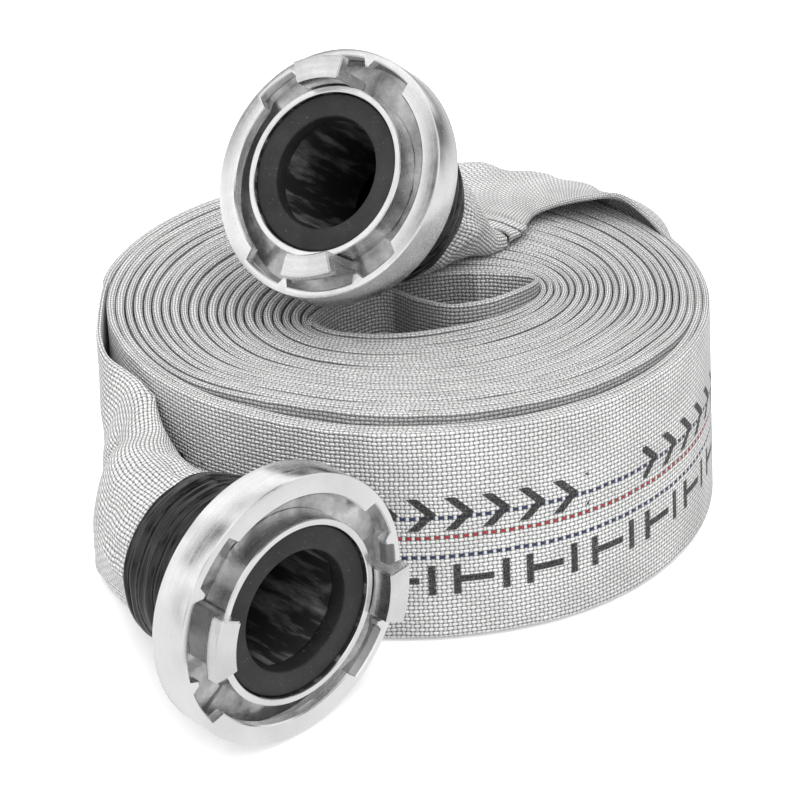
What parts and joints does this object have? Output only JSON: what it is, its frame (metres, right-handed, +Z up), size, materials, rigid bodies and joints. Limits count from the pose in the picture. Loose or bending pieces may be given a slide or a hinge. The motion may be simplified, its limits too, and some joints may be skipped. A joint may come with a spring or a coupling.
{
  "type": "rolled fire hose",
  "caption": "Woven lay-flat fire hose wound as a double roll, with a lugged quick coupling bound to each end.",
  "frame": {"origin": "on the floor under the middle of the whole hose's bounding box, roll and couplings together", "axes": "+Z up, the roll's axis; the lower coupling lies on the -Y side and +X is to the right of someone facing +Y"},
  "size_m": [0.2532, 0.3376, 0.1854],
  "materials": {
    "jacket": "coarse plain weave of undyed polyester with thin woven marking stripes",
    "liner": "smooth black rubber lining",
    "tail": "turned aluminium with fine lathe rings",
    "lug_ring": "forged aluminium, machined bright on the band and the rim",
    "seal": "matt black rubber",
    "steel": "drawn steel wire",
    "tape": "glossy black tape in overlapping turns"
  },
  "bodies": {
    "roll": {"hose_jacket": "jacket", "hose_liner": "liner"},
    "hose_end_a": {"hose_jacket_end_a": "jacket", "hose_liner_end_a": "liner", "coupling_tail_a": "tail", "seal_ring_a": "seal", "snap_ring_a": "steel", "binding_wire_a": "steel", "binding_tape_a": "tape"},
    "lug_ring_a": {"lug_ring_a": "lug_ring"},
    "hose_end_b": {"hose_jacket_end_b": "jacket", "hose_liner_end_b": "liner", "coupling_tail_b": "tail", "seal_ring_b": "seal", "snap_ring_b": "steel", "binding_wire_b": "steel", "binding_tape_b": "tape"},
    "lug_ring_b": {"lug_ring_b": "lug_ring"}
  },
  "joints": [
    {"name": "coupling_a_swing", "type": "hinge", "parent": "roll", "child": "hose_end_a", "pos_m": [-0.12115, -0.00288, 0.0425], "axis": [0, 0, -1], "range_deg": [0, 40]},
    {"name": "coupling_b_lift", "type": "hinge", "parent": "roll", "child": "hose_end_b", "pos_m": [0.00745, 0.10312, 0.0888], "axis": [-0.866, 0.5, 0], "range_deg": [0, 50]},
    {"name": "lug_ring_a_spin", "type": "hinge", "parent": "hose_end_a", "child": "lug_ring_a", "pos_m": [-0.04698, -0.1262, 0.0492], "axis": [0.693, -0.7176, 0.0698], "continuous": true},
    {"name": "lug_ring_b_spin", "type": "hinge", "parent": "hose_end_b", "child": "lug_ring_b", "pos_m": [-0.0286, 0.02554, 0.13961], "axis": [-0.485, -0.6724, 0.5592], "continuous": true}
  ]
}
